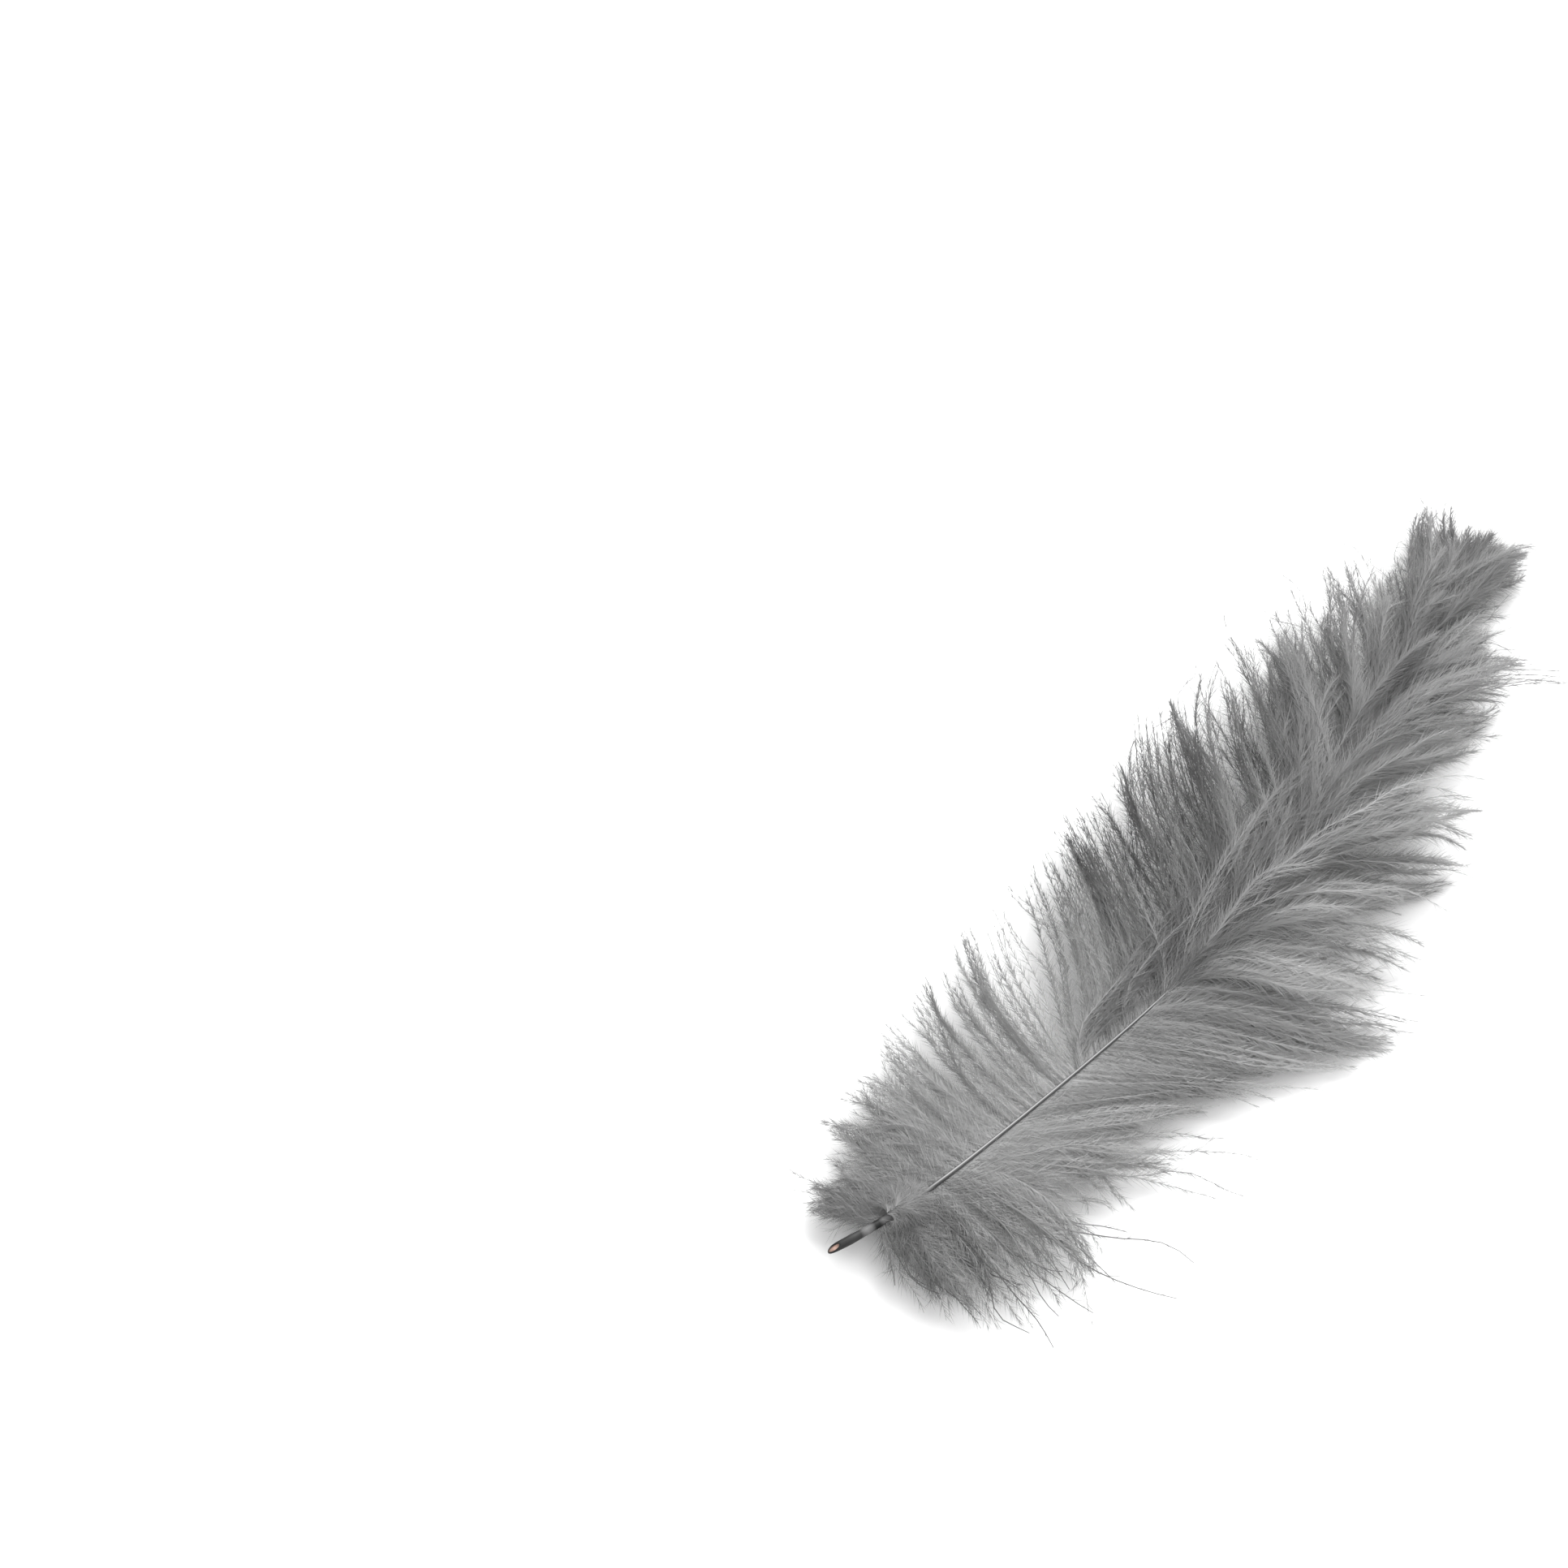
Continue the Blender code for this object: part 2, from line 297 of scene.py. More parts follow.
# a point of the shaft's middle line: two polynomials of the distance along, one sideways and one in height
def shaftPoint(along):
    return np.stack([shaftSide(along), along, shaftHeight(along)], -1) + quillEnd


# directions along, across and up at the points of lines whose points lie on the last axis but one
def lineFrames(lines):
    ahead = unit(np.gradient(lines, axis=-2))
    across = unit(np.cross(ahead, [0.0, 0.0, 1.0]))
    return ahead, across, np.cross(across, ahead)


# triangles of closed tubes: rings of corners carried along rows of stations, with a fan at each end
def tubeFaces(lines, stations, corners):
    line, station, corner = np.meshgrid(
        np.arange(lines), np.arange(stations - 1), np.arange(corners), indexing="ij")
    start = (line * stations + station) * corners
    a, b = start + corner, start + (corner + 1) % corners
    sides = np.stack([a, b + corners, b, a, a + corners, b + corners], -1).reshape(-1, 3)
    first = np.arange(lines)[:, None] * stations * corners
    last = first + (stations - 1) * corners
    fan = np.arange(1, corners - 1)
    ends = [np.stack([first + 0 * fan, first + fan, first + fan + 1], -1),
            np.stack([last + 0 * fan, last + fan + 1, last + fan], -1)]
    return np.concatenate([sides] + [end.reshape(-1, 3) for end in ends])


shaftShape = {
    "radii": ((0, 0.66), (3.5, 0.75), (5.5, 0.68), (8, 0.62), (11, 0.6), (16, 0.42), (22, 0.35),
              (42, 0.29), (66, 0.24), (178, 0.11)),  # along, radius
    "wall": 0.33, "hollow": 0.7, "pithRadius": 0.05,  # the open end: its wall, its depth and its middle
    "rimDepth": 0.25, "rimStep": 0.06, "rimRound": 0.05,  # how the wall's edge is rounded off
    "slant": 1.0, "slantEnd": 6.0,  # how far the high side of the cut lies back, and up to where
    "swell": 0.03, "swellWave": 1.1, "swellEnd": 14,  # the quill's slightly uneven thickness
    "quillLength": 30, "quillStations": 70, "shaftStations": 130, "corners": 28, "fineStations": 400,
    "ridge": (98, 20),  # where round the shaft its painted highlight lies and how wide it is, in degrees
    "cutShares": (1, 1, 0.3),  # how much of the pith's colour the first rings have
}


# the quill and shaft: a circle carried along the shaft line, over the rim and into the hollow cut end, with
# the points near the end moved along by how high they are, so that the cut is a slanting one
def makeShaft(shape, material):
    along = np.concatenate([
        np.linspace(0, shape["quillLength"], shape["quillStations"], endpoint=False),
        np.linspace(shape["quillLength"], tipAlong, shape["shaftStations"])])
    radius = np.interp(along, *np.array(shape["radii"]).T)
    radius = radius * (1 + shape["swell"] * np.sin(along * shape["swellWave"]) * (along < shape["swellEnd"]))
    radius[0] -= shape["rimRound"]
    inner = shape["radii"][0][1] - shape["wall"]
    along = np.concatenate([[shape["hollow"], shape["hollow"], shape["rimDepth"], 0.0], along])
    radius = np.concatenate([[shape["pithRadius"], inner, inner, inner + shape["rimStep"]], radius])
    fine = np.linspace(0, tipAlong, shape["fineStations"])
    ahead, across, up = lineFrames(shaftPoint(fine))
    pick = np.searchsorted(fine, along).clip(0, len(fine) - 1)
    turn = 2 * np.pi * np.arange(shape["corners"]) / shape["corners"]
    ring = across[pick, None] * np.cos(turn)[None, :, None] + up[pick, None] * np.sin(turn)[None, :, None]
    points = shaftPoint(along)[:, None] + ring * radius[:, None, None]
    slant = shape["slant"] * (1 + np.sin(turn)) * (1 - along / shape["slantEnd"]).clip(0, 1)[:, None]
    points = points + ahead[pick, None] * slant[..., None]
    cut = np.zeros(len(along))
    cut[:len(shape["cutShares"])] = shape["cutShares"]
    place, wide = np.radians(shape["ridge"])
    ridge = np.exp(-(((turn - place) / wide) ** 2))
    faces = tubeFaces(1, len(along), shape["corners"])
    makePiece("quill_and_shaft", points.reshape(-1, 3), faces, material, {
        "along": np.repeat(along / tipAlong, shape["corners"]), "cut": np.repeat(cut, shape["corners"]),
        "ridge": np.tile(ridge, len(along))})


barbShape = {
    "stations": 14, "rootRadius": 0.1, "tipRadius": 0.03,
    "sunk": (0.35, -0.2),  # how far under the shaft's middle the barbs start, in the flat and the fluffy half
    "scatter": 0.3,  # how far along the shaft they stray from even places
    "lockShare": 0.75, "wispShare": 0.45,  # how much barbs differ from lock to lock and from wisp to wisp
    "calm": 0.3, "tipTurn": 1.3,  # the flat half's share of the growths' straying, and the tips' share
    # how strongly the barbs of a wisp and of a whole lock close up, and from which share of their length on
    "wisp": (2, 5), "pull": 0.6, "pullFrom": 0.4, "pullRange": (0.6, 1.1),
    "lockPull": 0.85, "lockPullFrom": 0.2, "lockPullRange": (0.4, 1.15),
    "calmCling": 0.5,  # how much less they cling together in the flat half
    "slowCurls": 1.3, "quickCurls": 3.1, "quickShare": 0.45, "quickPhase": 3.7,  # waves in a barb's heading
    "slopeCurls": 2.3, "slopeShare": 0.3,  # and in its slope
    "ceiling": 20.6, "lowest": 0.4,  # the heights that they stay between
    "margin": -0.01,  # barbs end inside the solid's box by this share of it
    "ragged": 0.24, "raggedPower": 1.5,  # how much shorter some become of the barbs that the box cuts short
    "darkStems": ((18, 30), (0.05, 0.1)),  # how much darker than barbules the stems are: along, share
    "swellReach": 0.8,  # how far from a lock's middle its shading turns aside
    "roundness": 0.6, "upward": 0.5,  # of the soft shading, which turns with the lock and upwards
}
# how far each barb strays from its lock and wisp: its length as a share, its angles in degrees, its gap in mm
strayShape = {
    "length": 0.35, "leave": 2.5, "middle": 3, "end": 5, "rise": 2.5, "droop": 4, "wave": 4,
    "phase": 0.08, "gap": (-0.2, 0.3),
}
toneSpread = {"lock": 0.12, "wisp": 0.05, "barb": 0.03}
shadeShape = {
    "parting": (0.5, 8.0), "partingShade": 0.9, "narrowing": (135, 3),  # painted shade beside the shaft
    "above": (1, 10), "aboveShare": 0.35,  # less so on barbs that pass high over the shaft
    "patch": 0.3, "patchWave": 0.37,  # and in patches along it
    "tipStart": 155, "tipShare": 0.3,  # less so towards the tip
    "low": (3, 15), "lowShade": 0.12,  # painted shade near the floor
    "start": (52, 62),  # all of that only in the fluffy half
    "footAt": (-5.0, -80.0), "footReach": 6.0, "footShade": 0.3,  # painted shade where down hangs below the quill
}

# The growths of each side, laid over one another. "alongs" are places with the density there, "lock" is how
# many neighbours make a lock, and "length" is a share of the rows'. The locks stray by so many degrees where
# they leave the shaft, in their turn, slope and wave, and take the layers in turn: a share of the rows' rise,
# and degrees added. "gap" is their lowest height, "aim" their own angles, and "swing" is added to the rows'.
barbGrowths = {
    "even": {  # rows that run all along
        "count": 190, "alongs": ((9, 1), (42, 1), (46, 2.4), (62, 2.4), (68, 1), (150, 1), (176, 1.4)),
        "lock": (5, 11), "length": (0.82, 1.04), "leave": 9.0, "turn": 9.0, "slope": 5.0, "wave": 18.0,
        "layers": ((1.0, -2.0), (0.2, -7.0), (0.65, -5.0)), "gap": (0.7, 1.4), "cling": 0.55, "fluff": 1.0},
    "locks": {  # looser locks among them
        "count": 170, "alongs": ((9, 0.6), (36, 0.3), (46, 0.3), (57, 0.4), (64, 1.5), (150, 1), (176, 1.4)),
        "lock": (3, 9), "length": (0.66, 1.1), "leave": 18.0, "turn": 15.0, "slope": 9.0, "wave": 26.0,
        "layers": ((1.25, 4.0), (0.9, -2.0), (1.15, 1.0), (0.7, -4.0)), "gap": (1.0, 2.6), "cling": 1.1,
        "fluff": 1.0},
    "down": {  # loose down at the foot
        "count": 64, "alongs": ((9, 1.3), (33, 1)),
        "lock": (2, 6), "length": (0.5, 1.08), "leave": 22.0, "turn": 24.0, "slope": 12.0, "wave": 50.0,
        "layers": ((1.0, 14.0), (1.0, 6.0), (1.0, -2.0)), "gap": (0.8, 5.0), "cling": 0.5, "fluff": 1.2},
    "cover": {  # short down that folds over the quill
        "count": 24, "alongs": ((10.0, 1), (13.0, 1)), "swing": (-75, -75, 0),
        "lock": (1, 3), "length": (0.16, 0.26), "leave": 40.0, "turn": 40.0, "slope": 8.0, "wave": 50.0,
        "layers": ((1.0, 10.0), (1.0, 18.0), (1.0, 4.0)), "gap": (7.2, 8.2), "cling": 0.2, "fluff": 1.5},
    "sweep": {  # locks that sweep over the place where the shaft goes under, painted darker as the valley's shade
        "count": 50, "alongs": ((48, 1), (66, 1)), "side": -1,
        "aim": (66, -6, -20), "bend": 0.26, "rise": 22, "tone": -0.3,
        "lock": (2, 6), "length": (0.75, 1.35), "leave": 12.0, "turn": 17.0, "slope": 10.0, "wave": 34.0,
        "layers": ((1.0, 4.0), (1.0, -4.0)), "gap": (0.8, 2.0), "cling": 0.8, "fluff": 1.1},
    "mane": {  # locks that rise on the left and lie along the shaft
        "count": 46, "alongs": ((66, 1), (160, 0.8)), "side": -1,
        "aim": (52, 12, -6), "bend": 0.26, "rise": 34, "tone": -0.04,
        "lock": (2, 6), "length": (0.6, 1.0), "leave": 14.0, "turn": 20.0, "slope": 9.0, "wave": 30.0,
        "layers": ((1.0, 8.0), (1.0, 2.0)), "gap": (0.8, 2.0), "cling": 0.8, "fluff": 1.1},
    "fold": {  # locks that cross the shaft to the right
        "count": 44, "alongs": ((68, 1.2), (166, 0.8)), "side": -1, "aim": (-2, -20, -34), "tone": -0.04,
        "lock": (2, 6), "length": (0.45, 1.0), "leave": 16.0, "turn": 18.0, "slope": 9.0, "wave": 24.0,
        "layers": ((1.0, 12.0), (0.8, 5.0), (1.1, 8.0)), "gap": (0.8, 2.0), "cling": 0.8, "fluff": 1.1},
    "cross": {  # locks that cross the shaft to the left
        "count": 60, "alongs": ((66, 1), (168, 1)), "side": 1, "aim": (-6, -24, -34),
        "lock": (2, 6), "length": (0.6, 1.1), "leave": 16.0, "turn": 18.0, "slope": 9.0, "wave": 24.0,
        "layers": ((1.1, 8.0), (0.9, 3.0)), "gap": (0.8, 2.0), "cling": 0.8, "fluff": 1.1},
    "ferns": {  # single barbs that show in the sideways bundle
        "count": 26, "alongs": ((25, 1), (46, 1)), "side": 1, "stem": 1.4, "tone": -0.25,
        "lock": (1, 2), "length": (0.95, 1.3), "leave": 9.0, "turn": 20.0, "slope": 8.0, "wave": 36.0,
        "layers": ((1.0, 2.0), (0.8, 0.0)), "gap": (0.8, 3.0), "cling": 0.2, "fluff": 0.7},
    "hairs": {  # dark, almost bare barbs that hang from the foot
        "count": 30, "alongs": ((9, 1), (24, 1)), "side": 1, "swing": (0, -8, -45), "stem": 2.3, "tone": -1.3,
        "lock": (1, 1), "length": (0.9, 1.25), "leave": 10.0, "turn": 18.0, "slope": 8.0, "wave": 20.0,
        "layers": ((1.0, 4.0), (0.8, 0.0)), "gap": (0.8, 2.0), "cling": 0.0, "fluff": 0.14},
    "under": {  # a low layer on the left
        "count": 44, "alongs": ((62, 1), (125, 1)), "side": -1,
        "lock": (3, 8), "length": (0.8, 1.0), "leave": 8.0, "turn": 8.0, "slope": 5.0, "wave": 16.0,
        "layers": ((0.45, -3.0), (0.3, -5.0)), "gap": (0.8, 2.0), "cling": 0.3, "fluff": 1.2},
    "strays": {  # single barbs that reach past the rest
        "count": 32, "alongs": ((9, 3), (30, 2), (36, 0.7), (60, 1), (176, 1)),
        "lock": (1, 2), "length": (0.98, 1.26), "leave": 12.0, "turn": 14.0, "slope": 8.0, "wave": 42.0,
        "layers": ((1.0, 0.0), (0.8, -4.0)), "gap": (0.8, 2.0), "cling": 0.0, "fluff": 0.3},
}


# a sine of so many full waves
def curl(waves):
    return np.sin(2 * np.pi * waves)


# lines that leave the shaft: even steps summed up, whose heading eases from one angle to another up to the
# bend and on to a third at the tip, and whose slope goes from rise to droop. A slow and a quick wave in the
# heading and one in the slope grow to the tip
def growLines(side, along, length, angles, bend, slopes, sunk, wave, phase, shape):
    stations = shape["stations"]
    t = np.linspace(0, 1, stations)
    leave, middle, end = (np.radians(angle)[:, None] for angle in angles)
    rise, droop = (np.radians(slope)[:, None] for slope in slopes)
    bend, wave, phase = bend[:, None], np.radians(wave)[:, None], phase[:, None]
    turn = leave + (middle - leave) * ease(t / bend) + (end - middle) * ease((t - bend) / (1 - bend))
    quick = curl(t * shape["quickCurls"] + phase * shape["quickPhase"])
    turn = turn + wave * (curl(t * shape["slowCurls"] + phase) + shape["quickShare"] * quick) * t
    slope = rise + (droop - rise) * t
    slope = slope + wave * shape["slopeShare"] * curl(t * shape["slopeCurls"] + phase * 2) * t
    steps = np.stack([side * np.sin(turn) * np.cos(slope), np.cos(turn) * np.cos(slope), np.sin(slope)], -1)
    steps *= (length / (stations - 1))[:, None, None]
    start = shaftPoint(along)
    start[:, 2] -= sunk
    return start[:, None] + np.cumsum(steps, 1) - steps[:, :1]


# a height that never goes below the gap: half of what it is over it plus the root of that squared and a half
def keepAbove(height, gap):
    over = height - gap
    return gap + 0.5 * (over + np.sqrt(over * over + 0.5))


# runs of neighbours: the number of the run that each of them is in
def makeRuns(count, sizes):
    return np.repeat(np.arange(count), rng.integers(sizes[0], sizes[1] + 1, count))[:count]


# distances along the shaft, close together where the density is high: even steps of the summed density
def spreadAlong(count, stops):
    places, density = np.array(stops, float).T
    at = np.linspace(places[0], places[-1], 400)
    total = np.cumsum(np.interp(at, places, density))
    return np.interp(np.linspace(total[0], total[-1], count), total, at)


# the low and high corner of the solid's box with a share of its sides added all round
def boxCorners(margin):
    low, high = np.array(cadBox) / mm
    return low - (high - low) * margin, high + (high - low) * margin


# lines that would leave the solid's box, drawn back towards their root until the tip stays inside, each by
# a share more, so that they don't all end on one line
def shorten(lines, shape):
    low, high = boxCorners(shape["margin"])
    root, tip = lines[:, 0, :2], lines[:, -1, :2]
    room = np.where(tip > root, high[:2] - root, root - low[:2])
    share = (room / np.maximum(np.abs(tip - root), 0.1)).min(1)[:, None, None]
    ends = 1 - shape["ragged"] * rng.random((len(lines), 1, 1)) ** shape["raggedPower"]
    drawn = lines[:, :1] + (lines - lines[:, :1]) * share * ends
    return np.where(share < 1, drawn, lines)


# one growth's barbs: lines that share their lock's direction, each pulled to its wisp's line towards the tip
def makeBarbLines(side, rows, growth, shape, stray):
    count, stations = growth["count"], shape["stations"]
    rows = np.array(rows, float)
    along = spreadAlong(count, growth["alongs"]) + rng.uniform(-shape["scatter"], shape["scatter"], count)
    lock, wisp = makeRuns(count, growth["lock"]), makeRuns(count, shape["wisp"])
    locks, wisps = lock[-1] + 1, wisp[-1] + 1
    layers = np.array(growth["layers"])
    lift, over = layers[np.arange(count) % len(layers)].T
    kinds = ("length", "leave", "turn", "slope", "wave", "phase", "gap")
    own = {kind: rng.uniform(-1, 1, (2, count)) for kind in kinds}

    # what lock k shares, with a smaller share of what is wisp w's own
    def share(key, k, w):
        return own[key][0, k] * shape["lockShare"] + own[key][1, w] * shape["wispShare"]

    # a number in the growth's range, by what they share
    def within(key, k, w):
        low, high = growth[key]
        return (low + high) / 2 + (high - low) / 2 * share(key, k, w)

    # the lines of locks k and wisps w that start at these places, with some of each line's own when loose
    def lines(at, k, w, loose):
        length, leave, middle, end, bend, rise, droop = [np.interp(at, rows[:, 0], c) for c in rows[:, 1:].T]
        n = len(at)
        fluffy = np.interp(at, halvesMeet, (0, 1))
        calm = shape["calm"] + (1 - shape["calm"]) * fluffy + np.interp(at, footEnds, (1.0, 0))
        length = length * within("length", k, w) * (1 - loose * rng.random(n) ** 2 * stray["length"])
        swing = growth.get("swing", (0, 0, 0))
        if "aim" in growth:
            leave, middle, end = (np.full(n, float(angle)) for angle in growth["aim"])
        if "bend" in growth:
            bend, rise, fluffy = np.full(n, growth["bend"]), np.full(n, float(growth["rise"])), np.ones(n)
        left = share("leave", k, w) * growth["leave"] * calm
        turned = share("turn", k, w) * growth["turn"] * calm
        leave = leave + swing[0] + left + loose * rng.normal(0, stray["leave"], n)
        middle = middle + swing[1] + turned + loose * rng.normal(0, stray["middle"], n) * calm
        end = end + swing[2] + turned * shape["tipTurn"] + loose * rng.normal(0, stray["end"], n) * calm
        rise = rise * (1 + (lift[k] - 1) * fluffy)
        rise = rise + (over[k] + share("slope", k, w) * growth["slope"]) * fluffy
        rise = rise + loose * rng.normal(0, stray["rise"], n) * fluffy
        droop = droop + over[k] * fluffy + loose * rng.normal(0, stray["droop"], n) * calm
        wave = share("wave", k, w) * growth["wave"] * calm + loose * rng.normal(0, stray["wave"], n)
        phase = share("phase", k, w) + loose * rng.normal(0, stray["phase"], n)
        sunk = np.interp(at, halvesMeet, shape["sunk"])
        angles, slopes = (leave, middle, end), (rise, droop)
        made = growLines(side, at, length, angles, bend, slopes, sunk, wave, phase, shape)
        gap = within("gap", k, w) + loose * rng.uniform(*stray["gap"], n)
        height = keepAbove(made[..., 2], np.maximum(gap, shape["lowest"])[:, None])
        made[..., 2] = shape["ceiling"] - keepAbove(shape["ceiling"] - height, 0.0)
        return made, length

    # lines drawn over to their guides, from a share of their length on
    def close(ours, guides, amount, start):
        closing = ease((np.linspace(0, 1, stations) - start) / (1 - start))
        return ours + (guides - ours) * (amount[:, None] * closing)[..., None]

    firstWisps = wisp[np.searchsorted(lock, np.arange(locks))]
    firstLocks = lock[np.searchsorted(wisp, np.arange(wisps))]
    lockMiddles = np.array([along[lock == k].mean() for k in range(locks)])
    wispMiddles = np.array([along[wisp == k].mean() for k in range(wisps)])
    lockGuides, _ = lines(lockMiddles, np.arange(locks), firstWisps, 0.0)
    wispGuides, _ = lines(wispMiddles, firstLocks, np.arange(wisps), 0.0)
    ours, length = lines(along, lock, wisp, 1.0)
    cling = growth["cling"] * np.interp(along, halvesMeet, (shape["calmCling"], 1))
    pull = shape["pull"] * cling * rng.uniform(*shape["pullRange"], wisps)[wisp]
    ours = close(ours, wispGuides[wisp], pull, shape["pullFrom"])
    lockPull = shape["lockPull"] * cling * rng.uniform(*shape["lockPullRange"], wisps)[wisp]
    ours = close(ours, lockGuides[lock], lockPull, shape["lockPullFrom"])
    tone = 0.5 + growth.get("tone", 0) + rng.normal(0, toneSpread["lock"], count)[lock]
    tone = tone + rng.normal(0, toneSpread["wisp"], wisps)[wisp] + rng.normal(0, toneSpread["barb"], count)
    ours = shorten(ours, shape)
    aside = ours - lockGuides[lock]
    distance = np.linalg.norm(aside, axis=-1, keepdims=True)
    swell = aside / (distance + shape["swellReach"]) * growth["cling"]
    return {"lines": ours, "along": along, "length": length, "tone": tone, "swell": swell,
            "fluff": np.full(count, growth["fluff"]), "stem": np.full(count, growth.get("stem", 1.0))}


# painted shade: how much darker the fluffy half is painted there: beside the shaft, less so high above it and
# in patches, deep down under other barbs, and in a round patch at the foot
def depthShade(points, shape):
    along = points[..., 1] - quillEnd[1]
    aside = np.abs(points[..., 0] - quillEnd[0] - shaftSide(along))
    above = points[..., 2] - shaftHeight(along)
    narrowFrom, narrow = shape["narrowing"]
    aside = aside * np.interp(along, (narrowFrom, tipAlong), (1, narrow))
    shade = shape["partingShade"] * np.interp(aside, shape["parting"], (1, 0))
    shade = shade * np.interp(above, shape["above"], (1, shape["aboveShare"]))
    shade = shade * (1 - shape["patch"] + shape["patch"] * np.sin(along * shape["patchWave"]))
    shade = shade * np.interp(along, (shape["tipStart"], tipAlong), (1, shape["tipShare"]))
    shade = shade + shape["lowShade"] * np.interp(points[..., 2], shape["low"], (1, 0))
    shade = shade * np.interp(along, shape["start"], (0, 1))
    gone = np.linalg.norm(points[..., :2] - shape["footAt"], axis=-1) / shape["footReach"]
    return shade + shape["footShade"] * np.exp(-gone ** 2)


# stems: triangles carried along the lines, thinning evenly to the tip
def stemMesh(barbs, shape):
    lines = barbs["lines"]
    n, stations = lines.shape[:2]
    ahead, across, up = lineFrames(lines)
    radius = np.linspace(shape["rootRadius"], shape["tipRadius"], stations)
    turn = np.pi / 2 + 2 * np.pi * np.arange(3) / 3
    ring = across[:, :, None] * np.cos(turn)[:, None] + up[:, :, None] * np.sin(turn)[:, None]
    points = lines[:, :, None] + ring * (barbs["stem"][:, None] * radius)[..., None, None]
    dark = np.interp(barbs["along"], *shape["darkStems"])
    # the barb's tone less the painted shade of depthShade
    tone = np.repeat((barbs["tone"] - dark)[:, None] - depthShade(lines, shadeShape), 3, axis=1).ravel()
    soft = unit(ring * shape["roundness"] + barbs["swell"][:, :, None] + [0, 0, shape["upward"]])
    return points.reshape(-1, 3), tubeFaces(n, stations, 3), tone, soft.reshape(-1, 3)


# the barbules that lie along a barb, and the longer ones that stand out from it as a haze; "inner" and
# "outer" are those of the flat and of the fluffy half
barbuleKinds = {
    "core": {"share": 0.42, "innerLength": 2.6, "outerLength": 3.8, "width": 0.09,
             "innerAngle": 20.0, "outerAngle": 12.0, "angleSpread": 5.0, "rollSpread": 65.0},
    "haze": {"share": 0.58, "innerLength": 3.2, "outerLength": 5.8, "width": 0.075,
             "innerAngle": 30.0, "outerAngle": 35.0, "angleSpread": 9.0, "rollSpread": 75.0},
}
barbuleShape = {
    "angleStops": ((0, 0.6, 1), (1, 0.9, 0.6)), "lengthStops": ((0, 0.12, 0.7, 1), (0.6, 1, 0.9, 0.45)),
    "down": (22, 36), "downAngle": 0.3, "downLength": 0.25,  # wider and longer in the down at the foot
    "lengths": (0.6, 1.2), "flatRoll": 0.25, "flatness": 0.4, "tones": 0.06,
    "margin": 0.025, "floor": 0.06,  # how far past the solid's box and how low their tips may go
    "sparse": (0.6, 0.98), "sparseShare": 0.3,  # over this end of a barb they grow sparse
    "sideSoft": 0.5, "upSoft": 0.6, "upward": 0.5,  # of the soft shading: to the side, up, and always up
}


# evenly spread shares turned into places along a barb, by the summed density of its barbules
def thinToTip(shares):
    places = np.linspace(0, barbuleShape["sparse"][1], 200)
    total = np.cumsum(np.interp(places, barbuleShape["sparse"], (1, barbuleShape["sparseShare"])))
    return np.interp(shares, total / total[-1], places)


# barbules: thin spikes with three corners at the foot, which leave both sides of a barb towards its tip, at
# an angle to it and rolled round it by chance
def barbuleMesh(barbs, count, kind, shape):
    lines = barbs["lines"]
    stations = lines.shape[1]
    ahead, across, up = lineFrames(lines)
    weight = barbs["length"] * barbs["fluff"]
    weight = weight / weight.sum()
    barb = np.repeat(np.arange(len(lines)), np.floor(weight * count).astype(int))
    n = len(barb)
    t = thinToTip(rng.random(n))
    place = t * (stations - 1)
    i = np.minimum(place.astype(int), stations - 2)
    f = (place - i)[:, None]

    def between(values):
        return values[barb, i] * (1 - f) + values[barb, i + 1] * f

    foot, along, side, rise = between(lines), between(ahead), between(across), between(up)
    hand = np.where(rng.random(n) < 0.5, -1.0, 1.0)
    fluffy = np.interp(barbs["along"][barb], halvesMeet, (0, 1))
    downy = np.interp(barbs["along"][barb], shape["down"], (1, 0))
    angle = kind["innerAngle"] + (kind["outerAngle"] - kind["innerAngle"]) * fluffy
    angle = angle * (1 + shape["downAngle"] * downy) * np.interp(t, *shape["angleStops"])
    angle = np.radians(angle + rng.normal(0, kind["angleSpread"], n))
    roll = rng.normal(0, kind["rollSpread"], n) * (shape["flatRoll"] + (1 - shape["flatRoll"]) * fluffy)
    roll = np.radians(roll)
    length = kind["innerLength"] + (kind["outerLength"] - kind["innerLength"]) * fluffy
    length = length * (1 + shape["downLength"] * downy) * np.interp(t, *shape["lengthStops"])
    length = length * rng.uniform(*shape["lengths"], n)
    sideways = side * (hand * np.cos(roll))[:, None]
    out = sideways + rise * np.sin(roll)[:, None]
    reach = along * np.cos(angle)[:, None] + out * np.sin(angle)[:, None]
    low, high = boxCorners(shape["margin"])
    tip = (foot + reach * length[:, None]).clip([low[0], low[1], shape["floor"]], high)
    broad = unit(np.cross(reach, rise)) * kind["width"] / 2
    thick = unit(np.cross(broad, reach)) * kind["width"] * shape["flatness"]
    points = np.stack([foot - broad - thick * 0.5, foot + broad - thick * 0.5, foot + thick, tip], 1)
    corner = np.arange(n)[:, None] * 4
    faces = np.concatenate([corner + np.array(face) for face in ((0, 1, 2), (1, 0, 3), (2, 1, 3), (0, 2, 3))])
    # the barb's tone less the painted shade of depthShade, with each barbule's own spread
    tone = barbs["tone"][barb] - depthShade(foot, shadeShape) + rng.normal(0, shape["tones"], n)
    soft = sideways * shape["sideSoft"] + rise * np.abs(np.sin(roll))[:, None] * shape["upSoft"]
    soft = soft + between(barbs["swell"]) + [0, 0, shape["upward"]]
    return points.reshape(-1, 3), faces, np.repeat(tone, 4), np.repeat(unit(soft), 4, axis=0)


# each side in three pieces: from and to along the shaft, and how many triangles
vanePieces = {"low": (0, 46, 130000), "middle": (46, 104, 190000), "high": (104, 180, 160000)}


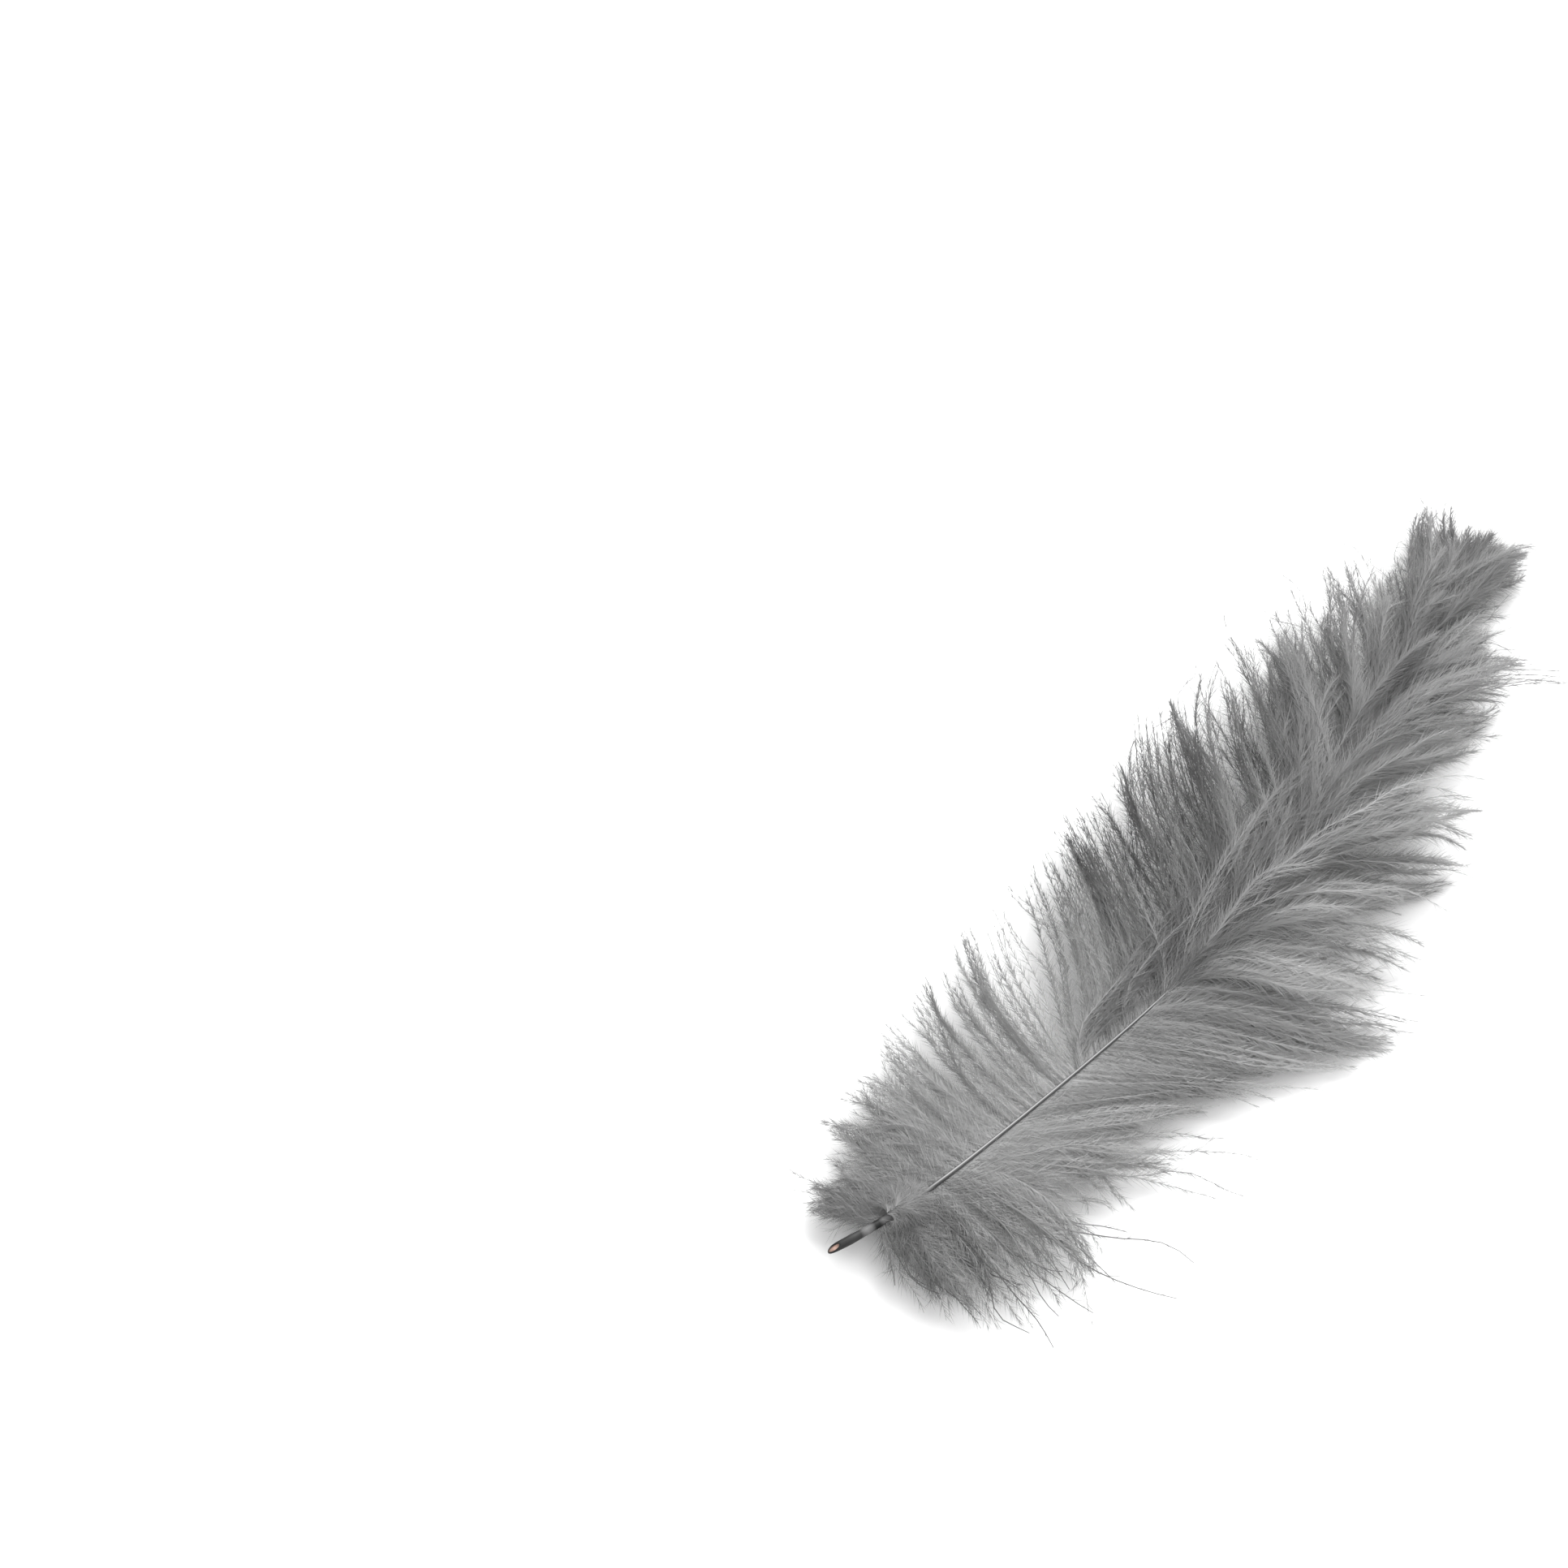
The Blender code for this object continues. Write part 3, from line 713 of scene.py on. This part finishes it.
# one side of the vane: all its growths' barbs, sorted into pieces by where they leave the shaft
def makeVane(sideName, side, rows, material):
    growths = [makeBarbLines(side, rows, growth, barbShape, strayShape) for growth in barbGrowths.values()
               if growth.get("side", side) == side]
    barbs = {key: np.concatenate([growth[key] for growth in growths]) for key in growths[0]}
    print("vane", sideName, len(barbs["along"]), "barbs")
    for name, (low, high, triangles) in vanePieces.items():
        keep = (barbs["along"] >= low) & (barbs["along"] < high)
        some = {key: values[keep] for key, values in barbs.items()}
        parts = [stemMesh(some, barbShape)]
        count = (triangles - len(parts[0][1])) // 4
        parts += [barbuleMesh(some, int(count * kind["share"]), kind, barbuleShape)
                  for kind in barbuleKinds.values()]
        starts = np.cumsum([0] + [len(part[0]) for part in parts[:-1]])
        points, tone, normals = (np.concatenate([part[k] for part in parts]) for k in (0, 2, 3))
        faces = np.concatenate([part[1] + start for part, start in zip(parts, starts)])
        makePiece(f"barbs_{sideName}_{name}", points, faces, material, {"tone": tone}, normals)


stageLook = {"size": 3.0, "floorGrey": 0.86, "roughness": 0.9}

viewShape = {
    "target": (-0.0760, -0.0250, 0.0), "azimuth": 38.34, "elevation": 55.0, "distance": 0.62,
    "lens": 84.95, "sensor": 36.0,
}

softLights = {
    "key": {"azimuth": 190, "elevation": 55, "distance": 1.1, "size": 0.9, "watts": 16.0},
    "fill": {"azimuth": 40, "elevation": 60, "distance": 1.3, "size": 1.2, "watts": 6.0},
}
worldStrength = 0.75


# puts a camera or a lamp on a sphere round the target, turned to look at it
def placeLooking(thing, target, azimuth, elevation, distance):
    a, e = np.radians([azimuth, elevation])
    back = Vector((np.sin(a) * np.cos(e), -np.cos(a) * np.cos(e), np.sin(e)))
    thing.location = Vector(target) + back * distance
    thing.rotation_euler = back.to_track_quat("Z", "Y").to_euler()


def makeFloor(look):
    half = look["size"] / 2
    mesh = bpy.data.meshes.new("floor")
    corners = [(-half, -half, 0), (half, -half, 0), (half, half, 0), (-half, half, 0)]
    mesh.from_pydata(corners, [], [(0, 1, 2, 3)])
    pale = (look["floorGrey"],) * 3 + (1.0,)
    mesh.materials.append(Finish("paleFloor").surface({"Base Color": pale, "Roughness": look["roughness"]}))
    floor = bpy.data.objects.new("floor", mesh)
    bpy.context.scene.collection.objects.link(floor)


def makeCamera(view):
    data = bpy.data.cameras.new("camera")
    data.sensor_width = view["sensor"]
    data.lens = view["lens"]
    camera = bpy.data.objects.new("camera", data)
    bpy.context.scene.collection.objects.link(camera)
    placeLooking(camera, view["target"], view["azimuth"], view["elevation"], view["distance"])
    bpy.context.scene.camera = camera


def makeLights():
    for name, light in softLights.items():
        data = bpy.data.lights.new(name, "AREA")
        data.size = light["size"]
        data.energy = light["watts"]
        lamp = bpy.data.objects.new(name, data)
        bpy.context.scene.collection.objects.link(lamp)
        placeLooking(lamp, (0, 0, 0), light["azimuth"], light["elevation"], light["distance"])
    world = bpy.data.worlds.new("studio")
    world.use_nodes = True
    world.node_tree.nodes["Background"].inputs["Color"].default_value = (1, 1, 1, 1)
    world.node_tree.nodes["Background"].inputs["Strength"].default_value = worldStrength
    bpy.context.scene.world = world


makeCamera(viewShape)
makeLights()
makeFloor(stageLook)
bpy.context.scene.view_settings.view_transform = "Standard"
print("camera, lights and floor are in place")
barbFinish = makeBarbFinish(barbLook)
makeShaft(shaftShape, makeShaftFinish(shaftLook))
makeVane("right", 1, rightRows, barbFinish)
makeVane("left", -1, leftRows, barbFinish)
